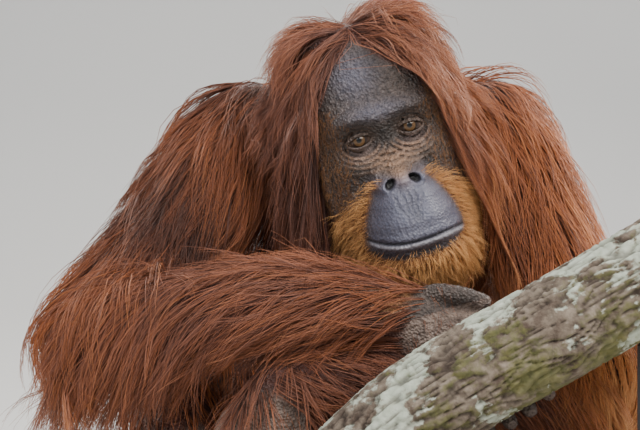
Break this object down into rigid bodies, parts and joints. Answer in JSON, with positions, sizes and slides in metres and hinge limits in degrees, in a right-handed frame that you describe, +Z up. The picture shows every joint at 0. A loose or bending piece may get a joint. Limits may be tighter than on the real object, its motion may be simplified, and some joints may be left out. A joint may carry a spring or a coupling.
{
  "type": "orangutan figure",
  "caption": "Life-size still model of an adult female orangutan sitting with folded arms behind a sloping branch on a flat display stand",
  "frame": {"origin": "middle of the base board's underside, on the surface that the model stands on", "axes": "+Z up, the animal faces -Y, its right side is at -X and its left side at +X"},
  "size_m": [0.78, 0.66, 0.5688],
  "materials": {
    "coat": "long reddish-brown hair in locks, satin sheen",
    "face": "dark grey-brown wrinkled skin, hair over the crown and cheeks",
    "skin": "dark bare skin, satin",
    "eye": "amber-brown iris under a wet clear surface",
    "bark": "rough grey-brown bark with pale lichen and some moss",
    "plinth": "dark stained board, matt",
    "rod": "matt black steel"
  },
  "bodies": {
    "root": {"stand_base": "plinth", "branch": "bark", "eye_right": "eye", "eye_left": "eye", "ear_right": "skin", "ear_left": "skin", "head": "face", "hand_right": "skin", "finger_right_1": "skin", "finger_right_2": "skin", "finger_right_3": "skin", "finger_right_4": "skin", "thumb_right": "skin", "hand_left": "skin", "finger_left_1": "skin", "finger_left_2": "skin", "finger_left_3": "skin", "finger_left_4": "skin", "thumb_left": "skin", "forearm_right": "coat", "forearm_left": "coat", "upper_arm_right": "coat", "upper_arm_left": "coat", "foot_right": "skin", "toe_right_1": "skin", "toe_right_2": "skin", "toe_right_3": "skin", "toe_right_4": "skin", "big_toe_right": "skin", "foot_left": "skin", "toe_left_1": "skin", "toe_left_2": "skin", "toe_left_3": "skin", "toe_left_4": "skin", "big_toe_left": "skin", "shin_right": "coat", "shin_left": "coat", "thigh_right": "coat", "thigh_left": "coat", "torso": "coat", "stand_rod_short": "rod", "stand_rod_long": "rod"}
  },
  "joints": []
}
